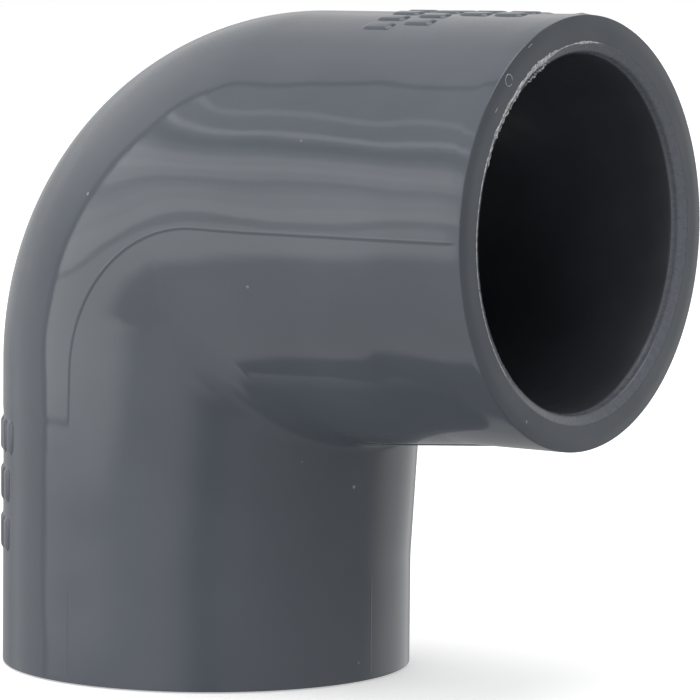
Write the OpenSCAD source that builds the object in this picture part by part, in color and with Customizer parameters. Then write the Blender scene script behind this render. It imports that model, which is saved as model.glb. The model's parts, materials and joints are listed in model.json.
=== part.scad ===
// 90 degree socket elbow for pressure pipe, injection moulded in one piece.
// Frame: the origin is the centre of the lower socket's mouth, and the part stands on that rim.
// +Z runs up the lower socket's axis, and the side socket opens along +X.

/* [Sockets] */
// Bore of each socket, which is the outside diameter of the pipe that it takes
socket_d = 48.26; // [47:0.02:49.5]
// Depth of each socket, from its mouth to the pipe stop
socket_depth = 34.9; // [31:0.1:36]
// Radial width of the lead-in chamfer at each mouth
leadin_w = 1.6; // [0.6:0.1:2]
// Depth of the lead-in chamfer at each mouth
leadin_h = 0.7; // [0.4:0.1:2]

/* [Body] */
// Outside diameter of the hubs and of the bend
hub_d = 58.7; // [57:0.1:62]
// Distance from the crossing of the two axes to each mouth
centre_to_face = 64.3; // [63:0.1:68]
// Centreline radius of the outside of the bend
bend_r = 20.8; // [18:0.1:24]
// Rounding of the outer edge of each rim
rim_r = 0.4; // [0.3:0.1:1.2]

/* [Waterway] */
// Diameter of the passage between the sockets
waterway_d = 40; // [36:0.5:44]
// Centreline radius of that passage's bend
waterway_bend_r = 24; // [23:0.5:26]

/* [Throat] */
// Extra thickness at the inside corner of the bend
throat_extra = 1.2; // [0.8:0.1:2]
// Stretch behind each mouth that keeps the plain hub diameter
plain_len = 14; // [10:1:18]

/* [Mould lines] */
// Height of the mould lines above the surface
line_h = 0.15; // [0.1:0.05:0.3]
// Gap between the side line and the side mouth
line_gap = 1.4; // [1:0.2:6]
// How far the side line runs down the lower hub, past the bend
line_tail = 7; // [4:0.2:20]
// Height of the mould line under the side hub, above the drafted throat
throat_line_h = 0.3; // [0.1:0.05:0.4]
// Height of the fine lines on the plain end of the lower hub
fine_h = 0.06; // [0.04:0.02:0.12]

/* [Raised bars] */
// Height of the raised bars on each hub
bar_h = 0.35; // [0.25:0.05:0.8]
// Size of one bar along the hub
bar_w = 4.6; // [3:0.2:5]
// Spacing of the rows of bars on the side hub
side_row_pitch = 5.6; // [5.4:0.1:6]
// Spacing of the rows of bars on the lower hub
lower_row_pitch = 7; // [5.4:0.1:7]
// Distance from the side mouth to the middle of its nearest row
side_row_start = 10.2; // [8:0.2:11]
// Distance from the lower mouth to the middle of its nearest row
lower_row_start = 19; // [16:0.5:20]

/* [Hidden] */
$fn = 96;
hub_r = hub_d / 2;
socket_r = socket_d / 2;
waterway_r = waterway_d / 2;
line_r = 0.5;                                   // radius of the bead that makes a mould line
line_in = line_r - line_h;                      // how deep that bead's centre lies
fine_r = 0.25;                                  // radius of the bead that makes a fine line
fine_end = 0.8;                                 // the fine lines stop this far before the rim's edge
throat_inset = 0.15;                            // the drafted throat cylinders are this much slimmer
throat_end = hub_r + throat_extra;              // the throat corner, from the crossing of the axes
draft_len = centre_to_face - plain_len - throat_end;
draft = atan((throat_extra + throat_inset) / draft_len);
throat_up = 10;                                 // where the drafted cylinders end inside the body
side_bars = [3, 3, 6, 7];                       // bars in each row, from the mouth inwards
lower_bars = [16, 16, 17];
bar_step = 7;                                   // degrees from one bar to the next
bar_angle = 4.6;                                // degrees that one bar covers
overlap = 0.4;                                  // how far a joined shape reaches into the next

// Places a shape drawn along +Z, with its mouth plane at z = centre_to_face, at the lower socket.
// Its +X side becomes the throat side.
module at_lower() {
    translate([0, 0, centre_to_face])
        mirror([0, 0, 1])
            children();
}

// Places the same shape at the side socket. Its +X side becomes the throat side.
module at_side() {
    translate([0, 0, centre_to_face])
        rotate([0, 90, 0])
            children();
}

module at_both() {
    at_lower() children();
    at_side() children();
}

// Straight hub from the bend to its mouth, with a rounded rim.
module hub() {
    rotate_extrude()
        union() {
            translate([0, bend_r])
                square([hub_r, centre_to_face - rim_r - bend_r]);
            translate([0, centre_to_face - rim_r])
                square([hub_r - rim_r, rim_r]);
            intersection() {
                translate([hub_r - rim_r, centre_to_face - rim_r])
                    circle(rim_r);
                translate([hub_r - rim_r, centre_to_face - rim_r])
                    square(rim_r);
            }
        }
}

// Quarter bend of a round bar. The part of the section past the bend's own axis is left off.
module quarter_bend(radius, section_r) {
    translate([radius, 0, centre_to_face - radius])
        rotate([90, 0, 0])
            rotate([0, 0, 90])
                rotate_extrude(angle = 90)
                    intersection() {
                        translate([radius, 0])
                            circle(section_r);
                        translate([0, -section_r])
                            square([radius + section_r, 2 * section_r]);
                    }
}

// Places a shape that runs back from the end of a hub's plain stretch, tilted by the draft angle.
module along_draft() {
    pivot = centre_to_face - plain_len;
    translate([0, 0, pivot])
        rotate([0, -draft, 0])
            translate([0, 0, throat_up - pivot])
                children();
}

// The throat side of each hub thickens towards the inside corner: a slightly slimmer, tilted cylinder.
module throat_draft() {
    along_draft()
        cylinder(r = hub_r - throat_inset, h = centre_to_face - plain_len - throat_up);
}

// Mould line along the outermost edge of that cylinder.
module throat_line() {
    along_draft()
        translate([hub_r - throat_inset + throat_line_h - line_r, 0, 0])
            cylinder(r = line_r, h = centre_to_face - plain_len - throat_up);
}

// Mould lines on the two flat sides. Each runs from near the side mouth along the side hub,
// round the bend and a little way down the lower hub.
module side_lines() {
    for (side = [-1, 1]) {
        at_side()
            translate([0, side * (hub_r - line_in), bend_r])
                cylinder(r = line_r, h = centre_to_face - bend_r - line_gap);
        at_lower()
            translate([0, side * (hub_r - line_in), bend_r])
                cylinder(r = line_r, h = line_tail);
        translate([bend_r, side * (hub_r - line_in), centre_to_face - bend_r])
            rotate([90, 0, 0])
                rotate([0, 0, 90])
                    rotate_extrude(angle = 90)
                        translate([bend_r, 0])
                            circle(line_r);
    }
}

// Fine lines along the plain end of a hub, a quarter turn apart.
module fine_lines() {
    for (turn = [0 : 90 : 270])
        rotate([0, 0, turn])
            translate([hub_r + fine_h - fine_r, 0, centre_to_face - plain_len])
                cylinder(r = fine_r, h = plain_len - rim_r - fine_end);
}

// Rows of plain raised bars on the outer side of a hub.
module bar_block(counts, row_start, row_pitch) {
    for (row = [0 : len(counts) - 1])
        for (i = [0 : counts[row] - 1])
            rotate([0, 0, 180 + (i - (counts[row] - 1) / 2) * bar_step - bar_angle / 2])
                translate([0, 0, centre_to_face - row_start - row * row_pitch - bar_w / 2])
                    rotate_extrude(angle = bar_angle)
                        translate([hub_r - overlap, 0])
                            square([bar_h + overlap, bar_w]);
}

// Space for the pipe: the straight socket and its lead-in chamfer.
module socket_space() {
    past = 1;                                   // the cut runs on past the mouth
    translate([0, 0, centre_to_face - socket_depth])
        cylinder(r = socket_r, h = socket_depth + past);
    rotate_extrude()
        polygon([
            [0, centre_to_face - leadin_h],
            [socket_r, centre_to_face - leadin_h],
            [socket_r + leadin_w, centre_to_face],
            [socket_r + leadin_w, centre_to_face + past],
            [0, centre_to_face + past]
        ]);
}

// Passage between the two pipe stops.
module waterway() {
    straight = centre_to_face - socket_depth - waterway_bend_r;
    at_both()
        translate([0, 0, waterway_bend_r])
            cylinder(r = waterway_r, h = straight + overlap);
    quarter_bend(waterway_bend_r, waterway_r);
}

module elbow_body() {
    color([0.36, 0.38, 0.40])
        difference() {
            union() {
                at_both() hub();
                quarter_bend(bend_r, hub_r);
                at_both() throat_draft();
                at_side() throat_line();
                side_lines();
                at_lower() fine_lines();
                at_side() bar_block(side_bars, side_row_start, side_row_pitch);
                at_lower() bar_block(lower_bars, lower_row_start, lower_row_pitch);
            }
            at_both() socket_space();
            waterway();
        }
}

elbow_body();
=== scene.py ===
"""Grey PVC socket elbow: its looks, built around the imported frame. Metres, in the frame's axes."""

import json
import math
import random

import bmesh
import bpy
import numpy as np
from mathutils import Matrix, Vector


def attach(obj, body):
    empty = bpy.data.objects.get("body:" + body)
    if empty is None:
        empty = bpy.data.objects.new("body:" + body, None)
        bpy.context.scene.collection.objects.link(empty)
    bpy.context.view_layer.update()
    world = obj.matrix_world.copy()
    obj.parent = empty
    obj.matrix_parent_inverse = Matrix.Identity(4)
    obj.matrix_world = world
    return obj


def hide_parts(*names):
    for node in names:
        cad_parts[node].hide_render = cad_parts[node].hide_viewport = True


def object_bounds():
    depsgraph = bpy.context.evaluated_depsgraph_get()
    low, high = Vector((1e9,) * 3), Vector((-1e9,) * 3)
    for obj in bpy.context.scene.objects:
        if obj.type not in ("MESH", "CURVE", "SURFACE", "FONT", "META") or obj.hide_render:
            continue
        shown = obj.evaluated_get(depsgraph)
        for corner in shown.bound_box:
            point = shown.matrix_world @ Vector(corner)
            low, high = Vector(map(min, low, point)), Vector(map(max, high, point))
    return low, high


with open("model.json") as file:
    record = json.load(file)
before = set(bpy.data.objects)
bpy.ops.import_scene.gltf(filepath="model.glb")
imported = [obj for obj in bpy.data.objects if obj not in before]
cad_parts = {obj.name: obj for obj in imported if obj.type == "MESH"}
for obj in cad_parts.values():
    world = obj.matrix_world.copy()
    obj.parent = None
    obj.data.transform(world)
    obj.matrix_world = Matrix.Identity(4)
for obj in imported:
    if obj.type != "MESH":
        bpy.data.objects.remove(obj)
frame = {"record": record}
CAD_LOW, CAD_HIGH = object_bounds()

MM = 0.001
MOUNTS = {mount["name"]: mount for mount in frame["record"]["mounts"]}

# Sizes that repeat the CAD source's own
LINE_H = 0.15 * MM                                    # height of the side mould lines
BAR_H = 0.35 * MM                                     # height of the raised bars
BEND_R = 20.8 * MM
LEADIN_W = 1.6 * MM
RIM_R = 0.4 * MM
WATERWAY_R = 20.0 * MM
WATERWAY_BEND_R = 24.0 * MM
THROAT_EXTRA = 1.2 * MM
THROAT_INSET = 0.15 * MM                              # the drafted throat tubes are this much slimmer
PLAIN_LEN = 14.0 * MM
LINE_GAP = 1.4 * MM
LINE_TAIL = 7.0 * MM
THROAT_LINE_H = 0.3 * MM
FINE_H = 0.06 * MM                                    # height of the fine lines on the plain end
BAR_W = 4.6 * MM
SIDE_BARS, SIDE_ROW_START, SIDE_ROW_PITCH = (3, 3, 6, 7), 10.2 * MM, 5.6 * MM
LOWER_BARS, LOWER_ROW_START, LOWER_ROW_PITCH = (16, 16, 17), 19.0 * MM, 7.0 * MM
BAR_STEP, BAR_ANGLE = math.radians(7.0), math.radians(4.6)

# Sizes that the frame holds
REACH = MOUNTS["side_socket"]["pos_m"][2]             # axis crossing to each mouth
LEADIN_H = MOUNTS["lower_socket"]["pos_m"][2]         # depth of the lead-in chamfer
BORE_R = MOUNTS["lower_socket"]["dims"]["r_mm"] * MM
SOCKET_DEPTH = LEADIN_H + MOUNTS["lower_socket"]["dims"]["length_mm"] * MM
HUB_R = (CAD_HIGH.y - CAD_LOW.y) / 2 - LINE_H

# Sizes of the finer surface work, which only the visual model has
FACE_SINK = 0.06 * MM                                 # the side mouth's face leaves room for its burr
FACE_CROWN = 0.22 * MM                                # the rim's face falls away this much to its edge
ENTRY_W, ENTRY_H = 0.3 * MM, 1.9 * MM                 # the rounded entry past each lead-in chamfer
ENTRY_STEPS = 8
THROAT_FILLET = 1.4 * MM                              # blend between the two drafted tubes
SOFT_BLEND = 0.3 * MM                                 # blend between a drafted tube and its hub
HEEL_STEP = 0.06 * MM                                 # the heel side stands this much proud
LINE_DRIFT = math.radians(3.0)                        # the side line leans to the heel by this angle
NIB_H = 0.24 * MM                                     # the gate's nib at the top of the side mouth
STOP_FILLET = 0.5 * MM                                # rounding at the foot of each socket
STOP_LIP = 0.3 * MM                                   # rounding where a pipe stop meets the waterway
SIDE_LINE_HALF = 0.32 * MM                            # half widths of the three kinds of line
THROAT_LINE_HALF = 0.35 * MM
FINE_LINE_HALF = 0.16 * MM
LEAST_BLEND = 0.02 * MM
BLEND_FROM, BLEND_TO = 2 * MM, 14 * MM                # the soft blend grows over this stretch
FILLET_SPREAD = 6                                     # how much wider the throat's fillet gets to its sides


# ---------------------------------------------------------------- the outside as a field

def smooth_max(a, b, blend):
    share = np.clip(0.5 + 0.5 * (a - b) / blend, 0, 1)
    return b * (1 - share) + a * share + blend * share * (1 - share)


def smooth_step(value, low, high):
    t = np.clip((value - low) / (high - low), 0, 1)
    return t * t * (3 - 2 * t)


def hump(value, half_width):
    """A smooth bump of height 1 at value 0 that ends at plus and minus half_width."""
    t = np.clip(1 - (value / half_width) ** 2, 0, 1)
    return t * t


THROAT_END = HUB_R + THROAT_EXTRA
PIVOT = REACH - PLAIN_LEN
DRAFT = math.atan((THROAT_EXTRA + THROAT_INSET) / (PIVOT - THROAT_END))
TUBE_START = 14.0 * MM                                # the drafted tubes start this far past the crossing


def drafted_tube(x, y, z):
    """How far inside the side hub's drafted tube a point is. x, y, z count from the axis crossing."""
    across = -math.sin(DRAFT) * (x - PIVOT) + math.cos(DRAFT) * z
    depth = HUB_R - THROAT_INSET - np.hypot(y, across)
    return depth - np.maximum(x - PIVOT, 0) - 1.5 * np.maximum(TUBE_START - x, 0)


def inside(point):
    """How far inside the elbow's outer skin each point is, counted from the axis crossing."""
    x, y, z = point[..., 0], point[..., 1], point[..., 2]
    side_hub = HUB_R - np.hypot(y, z)
    lower_hub = HUB_R - np.hypot(x, y)
    round_bend = HUB_R - np.hypot(np.hypot(x - BEND_R, z + BEND_R) - BEND_R, y)
    straight = np.where(x < BEND_R, lower_hub, np.maximum(side_hub, lower_hub))
    upper = np.where(x < BEND_R, round_bend, side_hub)
    body = np.where(z > -BEND_R, upper, straight)
    aside = (y / HUB_R) ** 2
    fillet = THROAT_FILLET * (1 + FILLET_SPREAD * aside * np.clip(1 - aside, 0, 1))
    throat = smooth_max(drafted_tube(x, y, z), drafted_tube(-z, y, -x), fillet)
    behind_pivot = PIVOT - np.maximum(x, -z)
    blend = LEAST_BLEND + SOFT_BLEND * smooth_step(behind_pivot, BLEND_FROM, BLEND_TO)
    return smooth_max(body, throat, blend)


# ---------------------------------------------------------------- stations along the elbow

HINGE = THROAT_END + 6 * MM                           # the fanned sections turn about a line out here


def centre_line(turn):
    """Where the bend's centre line meets the section plane that is turned by this angle."""
    straight = HINGE / math.cos(turn)
    if HINGE - straight * math.sin(turn) >= BEND_R:
        return straight
    if HINGE - straight_other(turn) * math.cos(turn) >= BEND_R:
        return straight_other(turn)
    gap = HINGE - BEND_R
    along = gap * (math.cos(turn) + math.sin(turn))
    return along + math.sqrt(along ** 2 - 2 * gap ** 2 + BEND_R ** 2)


def straight_other(turn):
    return HINGE / max(math.sin(turn), 1e-9)


def outer_stations():
    """Section planes from the lower mouth to the side mouth: (turn, centre, outward direction).

    A section's outward direction points at the heel, and its turn goes from 0 on the lower hub
    to a quarter on the side hub. Places count from the axis crossing."""
    straight = REACH - HINGE
    depths = [RIM_R + (straight - RIM_R) * k / 34 for k in range(35)]
    lower = [(0.0, Vector((0, 0, depth - REACH)), Vector((-1, 0, 0))) for depth in depths]
    side = [(math.pi / 2, Vector((REACH - depth, 0, 0)), Vector((0, 0, 1)))
            for depth in reversed(depths)]
    fan = []
    count = 120
    for k in range(1, count):
        turn = math.pi / 2 * k / count
        out = Vector((-math.cos(turn), 0, math.sin(turn)))
        fan.append((turn, Vector((HINGE, 0, -HINGE)) + out * centre_line(turn), out))
    return lower + fan + side


def angle_rows():
    """Angles round a section: 0 at the heel, a quarter turn at +Y, a half turn at the throat."""
    base = [2 * math.pi * k / 168 for k in range(168)]
    fine = [math.radians(d) for d in (-0.9, -0.6, -0.42, -0.28, -0.14, 0.14, 0.28, 0.42, 0.6, 0.9)]
    rows = set(round(a, 6) for a in base)
    for quarter in range(4):
        rows.update(round((quarter * math.pi / 2 + d) % (2 * math.pi), 6) for d in fine)
    return np.array(sorted(rows))


ANGLES = angle_rows()
FROM_HEEL = np.where(ANGLES > math.pi, 2 * math.pi - ANGLES, ANGLES)   # the same on both flat sides
SKIRT = REACH - BEND_R - LINE_TAIL                    # the side line starts this far up the lower hub


def surface_work(points):
    """Height of the mould lines and of the heel's step over the plain skin."""
    up_lower = REACH + points[..., 2]
    from_side = REACH - points[..., 0]
    arc = (FROM_HEEL - math.pi / 2) * HUB_R
    proud = smooth_step(up_lower, SKIRT - 0.2 * MM, SKIRT + 0.2 * MM)
    proud = proud * smooth_step(from_side, LINE_GAP - 0.2 * MM, LINE_GAP + 0.2 * MM)
    height = HEEL_STEP * proud * (1 - smooth_step(arc, -0.12 * MM, 0.12 * MM))
    height = height + (LINE_H - 1.2 * HEEL_STEP) * proud * hump(arc, SIDE_LINE_HALF)
    behind_plain = smooth_step(from_side, PLAIN_LEN, PLAIN_LEN + 0.4 * MM)
    behind_plain = behind_plain * smooth_step(points[..., 0] + points[..., 2], -0.5 * MM, 1.5 * MM)
    under = (math.pi - FROM_HEEL) * HUB_R
    height = height + THROAT_LINE_H * behind_plain * hump(under, THROAT_LINE_HALF)
    plain = smooth_step(up_lower, 1.4 * MM, 1.8 * MM)
    plain = plain * (1 - smooth_step(up_lower, PLAIN_LEN - 0.4 * MM, PLAIN_LEN))
    for place in (0.0, math.pi / 2, math.pi):
        height = height + FINE_H * plain * hump((FROM_HEEL - place) * HUB_R, FINE_LINE_HALF)
    nib = hump(FROM_HEEL * HUB_R, 1.3 * MM) * hump(from_side - 1.2 * MM, 1.1 * MM)
    return height + NIB_H * nib


def outer_rings():
    """Points of the outer skin, one ring a station, from the lower mouth to the side mouth."""
    turns, centres, outs = zip(*outer_stations())
    centres = np.array(centres)[:, None, :]
    outs = np.array(outs)[:, None, :]
    lean = LINE_DRIFT * (1 - smooth_step(np.array(turns), 0.2, 1.4))[:, None]
    lean = lean * hump(FROM_HEEL - math.pi / 2, math.radians(70))
    angle = ANGLES + np.where(ANGLES > math.pi, lean, -lean)
    direction = np.cos(angle)[..., None] * outs + np.sin(angle)[..., None] * np.array([0, 1.0, 0])
    near = np.full(angle.shape, 0.5 * HUB_R)
    far = np.full(angle.shape, 1.6 * HUB_R)
    for _ in range(40):
        middle = (near + far) / 2
        hit = inside(centres + middle[..., None] * direction) > 0
        near, far = np.where(hit, middle, near), np.where(hit, far, middle)
    radius = (near + far) / 2
    radius = radius + surface_work(centres + radius[..., None] * direction)
    return centres + radius[..., None] * direction


def straight_ring(depth, radius, side):
    """A plain ring round one hub's axis, this deep behind its mouth."""
    ring = np.zeros((len(ANGLES), 3))
    if side:
        ring[:, 0] = REACH - depth
        ring[:, 2] = radius * np.cos(ANGLES)
    else:
        ring[:, 2] = -REACH + depth
        ring[:, 0] = -radius * np.cos(ANGLES)
    ring[:, 1] = radius * np.sin(ANGLES)
    return ring


def face_depth(radius):
    """How far a rim's face lies behind its mouth plane: flat inside, falling away to its edge."""
    flat = BORE_R + LEADIN_W + 0.5 * MM
    share = max(0.0, (radius - flat) / (HUB_R - flat))
    return FACE_CROWN * share ** 2


def rim_rings(side):
    """Rings from the outer skin over the rounded rim, across the face and down the lead-in."""
    outline = []
    for k in range(1, 7):
        turn = math.pi / 2 * k / 6
        radius = HUB_R - RIM_R * (1 - math.cos(turn))
        outline.append((max(RIM_R * (1 - math.sin(turn)), face_depth(radius)), radius))
    edge = BORE_R + LEADIN_W
    for k in range(1, 8):
        radius = HUB_R - RIM_R - (HUB_R - RIM_R - edge - 0.12 * MM) * k / 7
        outline.append((face_depth(radius), radius))
    outline.append((0.04 * MM, edge - 0.06 * MM))
    chamfer_w = LEADIN_W - ENTRY_W
    outline += [(LEADIN_H * k / 4, edge - chamfer_w * k / 4) for k in range(1, 4)]
    for k in range(ENTRY_STEPS + 1):
        turn = math.pi / 2 * k / ENTRY_STEPS
        depth = LEADIN_H + (ENTRY_H - LEADIN_H) * math.sin(turn)
        outline.append((depth, BORE_R + ENTRY_W * math.cos(turn) ** 2))
    if side:
        outline = [(max(depth, FACE_SINK), radius) for depth, radius in outline]
    return [straight_ring(depth, radius, side) for depth, radius in outline]


def socket_rings(side):
    """Rings down the bore to the pipe stop and in to the waterway."""
    outline = []
    foot = SOCKET_DEPTH - STOP_FILLET
    outline += [(ENTRY_H + (foot - ENTRY_H) * k / 9, BORE_R) for k in range(1, 10)]
    for k in range(1, 5):
        turn = math.pi / 2 * k / 4
        outline.append((foot + STOP_FILLET * math.sin(turn),
                        BORE_R - STOP_FILLET * (1 - math.cos(turn))))
    outline += [(SOCKET_DEPTH, WATERWAY_R + 2 * MM), (SOCKET_DEPTH, WATERWAY_R + STOP_LIP),
                (SOCKET_DEPTH + STOP_LIP * 0.3, WATERWAY_R + STOP_LIP * 0.3),
                (SOCKET_DEPTH + STOP_LIP, WATERWAY_R)]
    return [straight_ring(depth, radius, side) for depth, radius in outline]


def waterway_rings():
    """Rings of the passage, from the lower stop to the side stop."""
    rings = []
    count = 40
    for k in range(count + 1):
        turn = math.pi / 2 * k / count
        out = np.array([-math.cos(turn), 0, math.sin(turn)])
        centre = np.array([WATERWAY_BEND_R, 0, -WATERWAY_BEND_R]) + WATERWAY_BEND_R * out
        ring = centre + WATERWAY_R * np.cos(ANGLES)[:, None] * out
        ring[:, 1] = WATERWAY_R * np.sin(ANGLES)
        rings.append(ring)
    return rings


def build_elbow(materials):
    """The moulding as one closed skin: outside, over one rim, back through the bores, other rim."""
    outer = list(outer_rings())
    side_rim = rim_rings(True)
    side_socket = socket_rings(True)
    passage = waterway_rings()
    lower_socket = socket_rings(False)
    lower_rim = rim_rings(False)
    rings = outer + side_rim + side_socket + passage[::-1] + lower_socket[::-1] + lower_rim[::-1]
    points = np.concatenate(rings)
    points[:, 2] += REACH
    round_count, ring_count = len(ANGLES), len(rings)
    faces = []
    for i in range(ring_count):
        here, there = i * round_count, ((i + 1) % ring_count) * round_count
        for j in range(round_count):
            k = (j + 1) % round_count
            faces.append((here + j, there + j, there + k, here + k))
    mesh = bpy.data.meshes.new("elbow_body_skin")
    mesh.from_pydata([tuple(p) for p in points], [], faces)
    for material in materials:
        mesh.materials.append(material)
    # the cut lead-ins, painted paler as painted light, then the duller inside, painted darker as painted
    # shade, which starts part of the way round each mouth's entry
    marked = np.zeros(ring_count, int)
    side_end, lower_start = len(outer) + len(side_rim), ring_count - len(lower_rim)
    marked[side_end - ENTRY_STEPS:lower_start + ENTRY_STEPS - 1] = 1
    lit_lead_in_steps = ENTRY_STEPS + 5
    marked[side_end - lit_lead_in_steps:side_end - ENTRY_STEPS // 2] = 2
    marked[lower_start + ENTRY_STEPS // 2 - 1:lower_start + lit_lead_in_steps - 1] = 2
    mesh.polygons.foreach_set("material_index", np.repeat(marked, round_count).astype(np.int32))
    mesh.polygons.foreach_set("use_smooth", [True] * len(mesh.polygons))
    mesh.update()
    build = bmesh.new()
    build.from_mesh(mesh)
    bmesh.ops.recalc_face_normals(build, faces=build.faces)
    build.to_mesh(mesh)
    build.free()
    return link_piece("elbow_body_skin", mesh)


def link_piece(name, mesh):
    piece = bpy.data.objects.new(name, mesh)
    bpy.context.scene.collection.objects.link(piece)
    return piece


def finish_piece(name, build, material):
    """Turns the mesh under way into a smooth piece with its faces outwards."""
    bmesh.ops.recalc_face_normals(build, faces=build.faces)
    mesh = bpy.data.meshes.new(name)
    build.to_mesh(mesh)
    build.free()
    mesh.materials.append(material)
    mesh.polygons.foreach_set("use_smooth", [True] * len(mesh.polygons))
    return link_piece(name, mesh)


# ---------------------------------------------------------------- raised bars

BAR_CORNER = 0.8 * MM                                 # rounding of a bar's corners, seen from above
BAR_SHARE = 0.9                                       # the bars stand at this share of their CAD height


def bar_mesh(build, place):
    """One soft-edged raised bar. place(along, around, up) gives a point on or over the hub.

    Each level says how far it reaches past the bar's outline, and how high it lies."""
    half_w, half_a = BAR_W / 2, BAR_ANGLE * HUB_R / 2
    levels = ((0.22 * MM, -0.12 * MM), (0.1 * MM, 0.03 * MM), (-0.06 * MM, 0.14 * MM),
              (-0.24 * MM, BAR_H - 0.08 * MM), (-0.45 * MM, BAR_H - 0.02 * MM), (-0.6 * MM, BAR_H))
    rings = []
    for grow, up in levels:
        ring = []
        for side_w, side_a, start in ((1, 1, 0), (-1, 1, 90), (-1, -1, 180), (1, -1, 270)):
            for k in range(5):
                turn = math.radians(start + 90 * k / 4)
                radius = max(BAR_CORNER + grow, 0.05 * MM)
                along = side_w * (half_w - BAR_CORNER) + radius * math.cos(turn)
                around = side_a * (half_a - BAR_CORNER) + radius * math.sin(turn)
                ring.append(build.verts.new(place(along, around, up)))
        rings.append(ring)
    for low, high in zip(rings, rings[1:]):
        for k in range(len(low)):
            nxt = (k + 1) % len(low)
            build.faces.new((low[k], low[nxt], high[nxt], high[k]))
    build.faces.new(rings[-1])
    build.faces.new(list(reversed(rings[0])))


def build_bars(material):
    build = bmesh.new()
    blocks = ((True, SIDE_BARS, SIDE_ROW_START, SIDE_ROW_PITCH),
              (False, LOWER_BARS, LOWER_ROW_START, LOWER_ROW_PITCH))
    for side, counts, row_start, row_pitch in blocks:
        for row, count in enumerate(counts):
            for i in range(count):
                turn = (i - (count - 1) / 2) * BAR_STEP
                depth = row_start + row * row_pitch

                def place(along, around, up):
                    angle = turn + around / HUB_R
                    radius = HUB_R + HEEL_STEP * 0.5 + up * BAR_SHARE
                    if side:
                        return (REACH - depth + along, radius * math.sin(angle),
                                REACH + radius * math.cos(angle))
                    return (-radius * math.cos(angle), radius * math.sin(angle), depth + along)

                bar_mesh(build, place)
    return finish_piece("raised_bars", build, material)


# ---------------------------------------------------------------- burr and scratches at the side mouth

def thread(build, points, radii):
    """A thin closed thread through the points, with its own radius at each."""
    rings = []
    for k, point in enumerate(points):
        along = points[min(k + 1, len(points) - 1)] - points[max(k - 1, 0)]
        side = along.orthogonal().normalized()
        other = along.normalized().cross(side)
        rings.append([build.verts.new(point + radii[k] * (math.cos(a) * side + math.sin(a) * other))
                      for a in (math.tau * n / 6 for n in range(6))])
    for low, high in zip(rings, rings[1:]):
        for k in range(6):
            build.faces.new((low[k], low[(k + 1) % 6], high[(k + 1) % 6], high[k]))
    build.faces.new(rings[-1])
    build.faces.new(list(reversed(rings[0])))


def on_face(turn, radius, depth=0.0):
    """A point at the side mouth. The turn goes from the top towards -Y."""
    return Vector((REACH - depth, -radius * math.sin(turn), REACH + radius * math.cos(turn)))


BURR_SEED = 7
BURR_FIRST, BURR_LAST, BURR_STEPS = -8.0, 134.0, 284  # degrees from the top, and the ribbon's steps
SCRATCH_R = 0.045 * MM
CURL_R, CURL_THREAD_R = 0.78 * MM, 0.06 * MM
# Short scratches over the face: turn and spread in degrees, radius
FACE_SCRATCHES = ((51, 1.6, HUB_R - 1.9 * MM), (28, 1.8, HUB_R - 0.5 * MM))
# Scratches along the side hub: depth in mm, turn in degrees, length in mm
HUB_SCRATCHES = ((6.6, 47.5, 1.3), (7.8, 46.0, 0.4), (5.8, 48.6, 0.3), (2.2, 88.6, 1.0),
                 (3.8, 88.8, 0.5))


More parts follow.
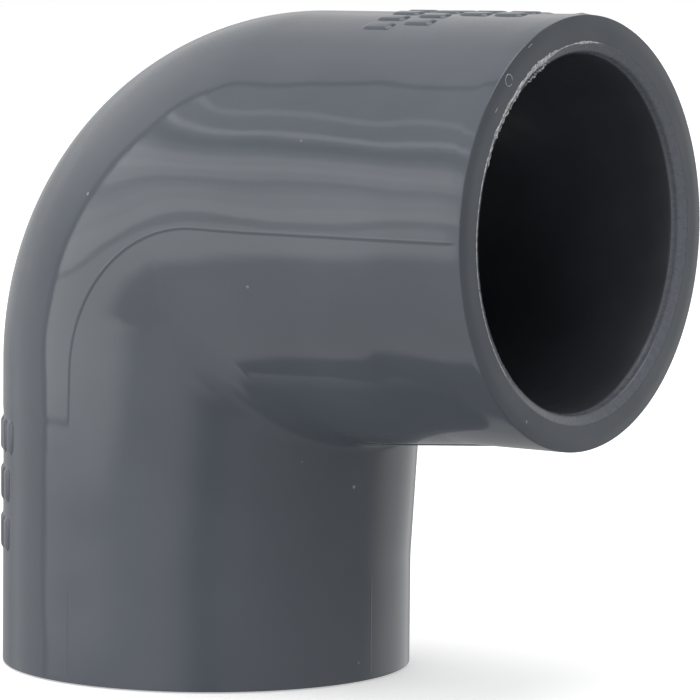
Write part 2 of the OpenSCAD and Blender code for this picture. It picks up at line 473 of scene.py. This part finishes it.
def build_burr(material):
    """The ragged edge along the lead-in, with strands, a curl and some scratches."""
    rng = random.Random(BURR_SEED)
    build = bmesh.new()
    # a ragged ribbon along the lead-in's outer edge: face side, crest, and lead-in side
    edge = BORE_R + LEADIN_W
    slope = LEADIN_H / (LEADIN_W - ENTRY_W)
    rows = []
    out_w, in_w = 0.0, 0.0
    for k in range(BURR_STEPS + 1):
        turn = BURR_FIRST + (BURR_LAST - BURR_FIRST) * k / BURR_STEPS
        heavy = float(smooth_step(turn, 12, 24) * (1 - smooth_step(turn, 52, 74)))
        dab = math.exp(-((turn - 1) / 5) ** 2)
        out_w += 0.45 * (rng.uniform(0.0, 1.0) ** 2 * (0.08 + 0.55 * heavy + 0.25 * dab) * MM - out_w)
        in_w += 0.45 * (rng.uniform(0.3, 1.0) * (0.16 + 0.85 * heavy + 0.3 * dab) * MM - in_w)
        crest = rng.uniform(0.0, 0.03) * MM
        outline = ((edge + out_w, FACE_SINK + 0.01 * MM),
                   (edge + 0.5 * out_w, crest + 0.02 * MM),
                   (edge - 0.05 * MM, crest),
                   (edge - 0.6 * in_w, max(0.0, 0.55 * slope * in_w - 0.05 * MM)),
                   (edge - in_w, slope * in_w + 0.02 * MM))
        rows.append([build.verts.new(on_face(math.radians(turn), *place)) for place in outline])
    for low, high in zip(rows, rows[1:]):
        for k in range(len(low) - 1):
            build.faces.new((low[k], low[k + 1], high[k + 1], high[k]))
    # strands that stand in the lead-in
    for strand in range(5):
        start = math.radians(18 + 8 * strand + rng.uniform(-4, 4))
        end = start + math.radians(rng.uniform(8, 16))
        base = BORE_R + LEADIN_W * rng.uniform(0.3, 0.7)
        points, radii = [], []
        for k in range(17):
            share = k / 16
            points.append(on_face(start + (end - start) * share, base + rng.uniform(-0.2, 0.2) * MM,
                                  0.34 * MM + 0.1 * MM * math.sin(7 * share + strand)))
            radii.append((0.04 + 0.16 * math.sin(math.pi * share) * rng.uniform(0.4, 1.0)) * MM)
        thread(build, points, radii)
    # a curl that lies over the face's outer slope
    middle = on_face(math.radians(42), HUB_R - 1.35 * MM, 0.09 * MM)
    loop = [middle + CURL_R * Vector((0, math.cos(a), math.sin(a)))
            for a in (math.tau * k / 22 * 0.9 for k in range(23))]
    thread(build, loop, [CURL_THREAD_R] * len(loop))
    for turn, spread, radius in FACE_SCRATCHES:
        points = [on_face(math.radians(turn + spread * k / 4), radius, 0.07 * MM) for k in range(5)]
        thread(build, points, [SCRATCH_R] * 5)
    for depth, turn, length in HUB_SCRATCHES:
        points = [on_face(math.radians(turn + 0.9 * length * k / 4), HUB_R,
                          (depth + length * (k / 4 - 0.5)) * MM) for k in range(5)]
        thread(build, points, [SCRATCH_R] * 5)
    return finish_piece("mouth_burr", build, material)


# ---------------------------------------------------------------- materials

def new_material(name):
    material = bpy.data.materials.new(name)
    material.use_nodes = True
    nodes, links = material.node_tree.nodes, material.node_tree.links
    nodes.clear()
    output = nodes.new("ShaderNodeOutputMaterial")
    shader = nodes.new("ShaderNodeBsdfPrincipled")
    links.new(shader.outputs["BSDF"], output.inputs["Surface"])
    return material, nodes, links, shader


def noise(nodes, links, source, scale, detail=2.0, roughness=0.5, stretch=None):
    if stretch is not None:
        mapping = nodes.new("ShaderNodeMapping")
        mapping.inputs["Scale"].default_value = stretch
        links.new(source, mapping.inputs["Vector"])
        source = mapping.outputs["Vector"]
    node = nodes.new("ShaderNodeTexNoise")
    node.inputs["Scale"].default_value = scale
    node.inputs["Detail"].default_value = detail
    node.inputs["Roughness"].default_value = roughness
    links.new(source, node.inputs["Vector"])
    return node.outputs["Fac"]


def ramp(nodes, links, value, low, high, from_value=0.0, to_value=1.0):
    node = nodes.new("ShaderNodeMapRange")
    node.interpolation_type = "SMOOTHSTEP"
    node.inputs["From Min"].default_value = low
    node.inputs["From Max"].default_value = high
    node.inputs["To Min"].default_value = from_value
    node.inputs["To Max"].default_value = to_value
    links.new(value, node.inputs["Value"])
    return node.outputs["Result"]


def mix_colour(nodes, links, share, first, second):
    node = nodes.new("ShaderNodeMix")
    node.data_type = "RGBA"
    links.new(share, node.inputs["Factor"])
    for socket, colour in (("A", first), ("B", second)):
        slot = [s for s in node.inputs if s.name == socket and s.type == "RGBA"][0]
        if isinstance(colour, tuple):
            slot.default_value = (*colour, 1.0)
        else:
            links.new(colour, slot)
    return [s for s in node.outputs if s.type == "RGBA"][0]


def bump(nodes, links, height, strength, distance, normal=None):
    node = nodes.new("ShaderNodeBump")
    node.inputs["Strength"].default_value = strength
    node.inputs["Distance"].default_value = distance
    links.new(height, node.inputs["Height"])
    if normal is not None:
        links.new(normal, node.inputs["Normal"])
    return node.outputs["Normal"]


def times(nodes, links, first, second):
    node = nodes.new("ShaderNodeMath")
    node.operation = "MULTIPLY"
    links.new(first, node.inputs[0])
    links.new(second, node.inputs[1])
    return node.outputs["Value"]


PVC_DARK = (0.083, 0.095, 0.113)
PVC_LIGHT = (0.094, 0.107, 0.127)
PVC_SCUFF = (0.30, 0.31, 0.32)
# the inside's colours are darker than the skin's: painted shade in the bores
SHADED_SOCKET_DARK, SHADED_SOCKET_LIGHT = (0.038, 0.043, 0.051), (0.047, 0.053, 0.062)
# the lead-in's colours are paler than the skin's: painted light on the lead-in
LIT_LEADIN_DARK, LIT_LEADIN_LIGHT = (0.142, 0.157, 0.182), (0.154, 0.169, 0.194)
BURR_DARK, BURR_LIGHT = (0.34, 0.35, 0.36), (0.78, 0.79, 0.80)
PVC_IOR = 1.53


def pvc_material():
    """Glossy moulded grey PVC: slightly uneven tone, soft ripples and sparse pale specks."""
    material, nodes, links, shader = new_material("moulded_pvc")
    place = nodes.new("ShaderNodeTexCoord").outputs["Object"]
    cloud = noise(nodes, links, place, 45, 3, 0.55)
    grain = noise(nodes, links, place, 900, 2, 0.6)
    tone = ramp(nodes, links, cloud, 0.3, 0.7)
    colour = mix_colour(nodes, links, tone, PVC_DARK, PVC_LIGHT)
    speck_cells = nodes.new("ShaderNodeTexVoronoi")
    speck_cells.inputs["Scale"].default_value = 190
    links.new(place, speck_cells.inputs["Vector"])
    dots = ramp(nodes, links, speck_cells.outputs["Distance"], 0.03, 0.06, 1.0, 0.0)
    chosen = ramp(nodes, links, noise(nodes, links, place, 120, 0), 0.66, 0.7)
    colour = mix_colour(nodes, links, times(nodes, links, dots, chosen), colour, PVC_SCUFF)
    links.new(colour, shader.inputs["Base Color"])
    rough = ramp(nodes, links, noise(nodes, links, place, 60, 4, 0.6), 0.3, 0.75, 0.06, 0.10)
    links.new(rough, shader.inputs["Roughness"])
    ripple = noise(nodes, links, place, 55, 1, 0.4)
    normal = bump(nodes, links, ripple, 1.0, 0.0004)
    normal = bump(nodes, links, grain, 0.25, 0.00002, normal)
    links.new(normal, shader.inputs["Normal"])
    shader.inputs["IOR"].default_value = PVC_IOR
    return material


def painted_shade_socket_material():
    """The inside: the same plastic with a duller surface, its colour painted darker than the skin's as
    painted shade in the bores.
    """
    material, nodes, links, shader = new_material("socket_pvc")
    place = nodes.new("ShaderNodeTexCoord").outputs["Object"]
    cloud = noise(nodes, links, place, 90, 4, 0.6)
    colour = mix_colour(nodes, links, ramp(nodes, links, cloud, 0.3, 0.7),
                        SHADED_SOCKET_DARK, SHADED_SOCKET_LIGHT)
    links.new(colour, shader.inputs["Base Color"])
    rough = ramp(nodes, links, noise(nodes, links, place, 300, 3), 0.3, 0.7, 0.34, 0.46)
    links.new(rough, shader.inputs["Roughness"])
    links.new(bump(nodes, links, cloud, 0.3, 0.00008), shader.inputs["Normal"])
    shader.inputs["IOR"].default_value = PVC_IOR
    return material


def lit_lead_in_material():
    """The lead-in, painted a little paler than the moulded skin: painted light, the brighter band the
    lead-in shows where it catches the light.
    """
    material, nodes, links, shader = new_material("lead_in_pvc")
    place = nodes.new("ShaderNodeTexCoord").outputs["Object"]
    cloud = noise(nodes, links, place, 700, 4, 0.6)
    colour = mix_colour(nodes, links, ramp(nodes, links, cloud, 0.3, 0.7),
                        LIT_LEADIN_DARK, LIT_LEADIN_LIGHT)
    links.new(colour, shader.inputs["Base Color"])
    links.new(ramp(nodes, links, cloud, 0.3, 0.7, 0.22, 0.36), shader.inputs["Roughness"])
    links.new(bump(nodes, links, cloud, 0.3, 0.00004), shader.inputs["Normal"])
    return material


def burr_material():
    """Plastic that tore or was scuffed: paler, matt and speckled."""
    material, nodes, links, shader = new_material("burr_pvc")
    place = nodes.new("ShaderNodeTexCoord").outputs["Object"]
    cloud = noise(nodes, links, place, 1400, 3, 0.6)
    colour = mix_colour(nodes, links, ramp(nodes, links, cloud, 0.35, 0.65),
                        BURR_DARK, BURR_LIGHT)
    links.new(colour, shader.inputs["Base Color"])
    links.new(ramp(nodes, links, cloud, 0.3, 0.7, 0.4, 0.6), shader.inputs["Roughness"])
    links.new(bump(nodes, links, cloud, 0.6, 0.00005), shader.inputs["Normal"])
    return material


# ---------------------------------------------------------------- studio

def plain_material(name, colour, roughness=0.6):
    material, nodes, links, shader = new_material(name)
    shader.inputs["Base Color"].default_value = (*colour, 1.0)
    shader.inputs["Roughness"].default_value = roughness
    return material


def glow_material(name, strength, soft):
    """A light that fades at its left, right, lower and upper edge, each by a share of its size."""
    material = bpy.data.materials.new(name)
    material.use_nodes = True
    nodes, links = material.node_tree.nodes, material.node_tree.links
    nodes.clear()
    output = nodes.new("ShaderNodeOutputMaterial")
    glow = nodes.new("ShaderNodeEmission")
    glow.inputs["Strength"].default_value = strength
    fade_out = nodes.new("ShaderNodeMixShader")
    links.new(nodes.new("ShaderNodeBsdfTransparent").outputs["BSDF"], fade_out.inputs[1])
    links.new(glow.outputs["Emission"], fade_out.inputs[2])
    links.new(fade_out.outputs["Shader"], output.inputs["Surface"])
    split = nodes.new("ShaderNodeSeparateXYZ")
    links.new(nodes.new("ShaderNodeUVMap").outputs["UV"], split.inputs["Vector"])
    level = ramp(nodes, links, split.outputs["X"], 0.0, soft[0])
    edges = (("X", 1.0, 1.0 - soft[1]), ("Y", 0.0, soft[2]), ("Y", 1.0, 1.0 - soft[3]))
    for axis, rim, full in edges:
        fade = ramp(nodes, links, split.outputs[axis], rim, full)
        level = times(nodes, links, level, fade)
    links.new(level, fade_out.inputs["Fac"])
    return material


STUDIO_REACH = 12.0                                   # the lights stand this far out, the first nearest
REACH_STEP = 0.01                                     # each further light stands this share further out
NEAR_REACH = 0.24                                     # the one near light
PANEL_STEP = 4                                        # degrees from one corner of a light to the next
AMBIENT = 0.36                                        # the room's own light
FLOOR_REACH = 10.0                                    # half the floor's width
FLOOR_GLOW = 0.42                                     # keeps the floor pale all the way out


def direction(azimuth, elevation):
    a, e = math.radians(azimuth), math.radians(elevation)
    return Vector((math.cos(a) * math.cos(e), math.sin(a) * math.cos(e), math.sin(e)))


def light_panel(name, reach, azimuths, elevations, strength, soft, lean=0.0):
    """A curved light round the elbow, in degrees, as are its soft edges. The camera doesn't see it.

    lean is how far it moves sideways per degree of elevation."""
    (left, right), (low, high) = azimuths, elevations
    across = max(2, round((right - left) / PANEL_STEP))
    up = max(2, round((high - low) / PANEL_STEP))
    places, corners, faces = [], [], []
    for i in range(across + 1):
        for j in range(up + 1):
            u, v = i / across, j / up
            elevation = low + (high - low) * v
            towards = direction(left + (right - left) * u + lean * elevation, elevation)
            places.append(Vector((0, 0, REACH)) + reach * towards)
            corners.append((u, v))
    for i in range(across):
        for j in range(up):
            first = i * (up + 1) + j
            faces.append((first, first + 1, first + up + 2, first + up + 1))
    mesh = bpy.data.meshes.new(name)
    mesh.from_pydata(places, [], faces)
    layer = mesh.uv_layers.new(name="UVMap")
    for loop in mesh.loops:
        layer.data[loop.index].uv = corners[loop.vertex_index]
    sizes = (right - left, right - left, high - low, high - low)
    mesh.materials.append(glow_material(name, strength, [s / size for s, size in zip(soft, sizes)]))
    piece = link_piece(name, mesh)
    piece.visible_camera = False
    piece.visible_shadow = False
    piece.visible_glossy = name not in FILLS


FILLS = ("front_fill", "floor_bounce")                # these light the surface but don't show in its gloss
LEFT_LEAN = -0.24                                     # the left-hand lights lean by this

# Slats of the left-hand light: (lowest, highest elevation, strength)
SLATS = (
    (3.8, 9.0, 2.0),
    (9.0, 13.8, 1.75),
    (13.8, 16.0, 1.45),
    (18.4, 21.5, 1.7),
    (21.5, 24.0, 2.0),
    (24.0, 27.4, 1.75),
    (27.4, 29.0, 1.2),
    (31.0, 34.6, 0.5),
    (36.2, 38.2, 1.8),
    (43.6, 45.4, 1.4),
)

# Larger lights and shades: name, azimuths, elevations, strength, softness of the four edges, lean
LIGHTS = (
    ("left_lower", (204.2, 262), (-12, 30), 1.15, (1.5, 24, 6, 3), LEFT_LEAN),
    ("left_light", (204.2, 262), (-12, 62), 0.8, (1.5, 24, 6, 5), LEFT_LEAN),
    ("left_low", (203, 290), (-64, -2), 0.72, (6, 30, 8, 8), 0.0),
    ("front_left", (236, 306), (-30, 24), 0.75, (20, 26, 10, 8), 0.0),
    ("front_shade", (286, 322), (-40, 50), 0.18, (15, 14, 12, 12), 0.0),
    ("back_left_low", (160, 201.4), (-36, 24), 0.62, (14, 1.5, 12, 14), LEFT_LEAN),
    ("back_left_high", (160, 201.4), (2, 66), 0.86, (14, 1.5, 14, 6), LEFT_LEAN),
    ("back", (100, 176), (-9, 18), 0.56, (14, 14, 9, 14), 0.0),
    ("back_high", (100, 176), (4, 68), 0.76, (10, 10, 10, 10), 0.0),
    ("right", (44, 118), (-24, 34), 0.8, (26, 14, 14, 14), 0.0),
    ("front_fill", (246, 316), (26, 63), 1.9, (10, 10, 8, 1), 0.0),
    ("floor_bounce", (250, 356), (-46, -12), 2.1, (24, 30, 8, 6), 0.0),
    ("floor_shade", (0, 360), (-89.9, -46), 0.1, (0.1, 0.1, 0.1, 6), 0.0),
    ("overhead", (0, 360), (63, 89.9), 2.6, (0.1, 0.1, 4, 0.1), 0.0),
)


def build_studio():
    floor_mesh = bpy.data.meshes.new("floor")
    corners = [(x * FLOOR_REACH, y * FLOOR_REACH, 0) for x, y in ((-1, -1), (1, -1), (1, 1), (-1, 1))]
    floor_mesh.from_pydata(corners, [], [(0, 1, 2, 3)])
    pale = plain_material("pale_floor", (0.92, 0.92, 0.92), 0.7)
    shader = pale.node_tree.nodes["Principled BSDF"]
    shader.inputs["Emission Color"].default_value = (1.0, 1.0, 1.0, 1.0)
    shader.inputs["Emission Strength"].default_value = FLOOR_GLOW
    floor_mesh.materials.append(pale)
    floor = link_piece("floor", floor_mesh)
    floor.visible_diffuse = False
    floor.visible_glossy = False
    floor.visible_shadow = False
    # the lowest slat stands close by, so its lower edge shows on the bend and not on the lower hub
    light_panel("left_near", NEAR_REACH, (209, 262), (-15.5, 1.2), 1.75, (1.5, 16, 7, 0.8),
                LEFT_LEAN)
    lights = [(f"left_slat_{k}", (204, 252), (low - 0.3, high + 0.3), strength,
               (1.5, 12, 0.6, 0.6), LEFT_LEAN)
              for k, (low, high, strength) in enumerate(SLATS)]
    for k, (name, *light) in enumerate(lights + list(LIGHTS)):
        light_panel(name, STUDIO_REACH * (1 + REACH_STEP * k), *light)
    world = bpy.data.worlds.new("studio")
    bpy.context.scene.world = world
    world.use_nodes = True
    nodes, links = world.node_tree.nodes, world.node_tree.links
    background = nodes["Background"]
    background.inputs["Color"].default_value = (1.0, 1.0, 1.0, 1.0)
    seen = nodes.new("ShaderNodeLightPath").outputs["Is Camera Ray"]
    links.new(ramp(nodes, links, seen, 0.0, 1.0, AMBIENT, 1.0), background.inputs["Strength"])
    bpy.context.scene.view_settings.view_transform = "Standard"
    bpy.context.scene.view_settings.look = "None"


CAMERA_DEGREES = (36.4, 5.04, 0.6)                    # azimuth from -Y towards +X, elevation, roll
CAMERA_DISTANCE = 19.89 * HUB_R
CAMERA_OFFSET = (0.685 * HUB_R, -0.66 * HUB_R)        # right and up, so it looks past the axis crossing
CAMERA_LENS = 209.6


def build_camera():
    """The camera stands in front, turned towards the side mouth, a little above its axis."""
    azimuth, elevation, roll = (math.radians(value) for value in CAMERA_DEGREES)
    distance = CAMERA_DISTANCE
    offset_right, offset_up = CAMERA_OFFSET
    back = Vector((math.sin(azimuth) * math.cos(elevation),
                   -math.cos(azimuth) * math.cos(elevation), math.sin(elevation)))
    level = Vector((math.cos(azimuth), math.sin(azimuth), 0))
    steep = back.cross(level)
    right = level * math.cos(roll) + steep * math.sin(roll)
    up = steep * math.cos(roll) - level * math.sin(roll)
    data = bpy.data.cameras.new("camera")
    data.sensor_width = 36
    data.lens = CAMERA_LENS
    data.clip_start, data.clip_end = 0.01, 50
    camera = bpy.data.objects.new("camera", data)
    bpy.context.scene.collection.objects.link(camera)
    turn = Matrix((right, up, back)).transposed().to_4x4()
    crossing = Vector((0, 0, REACH))
    spot = crossing + back * distance + right * offset_right + up * offset_up
    camera.matrix_world = Matrix.Translation(spot) @ turn
    bpy.context.scene.camera = camera


# ---------------------------------------------------------------- putting it together

build_camera()
build_studio()
pvc = pvc_material()
# the inside's material is painted darker as painted shade
# the lead-in's material is painted paler as painted light
elbow = build_elbow([pvc, painted_shade_socket_material(), lit_lead_in_material()])
bars = build_bars(pvc)
burr = build_burr(burr_material())
for piece in (elbow, bars, burr):
    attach(piece, "root")
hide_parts("elbow_body")
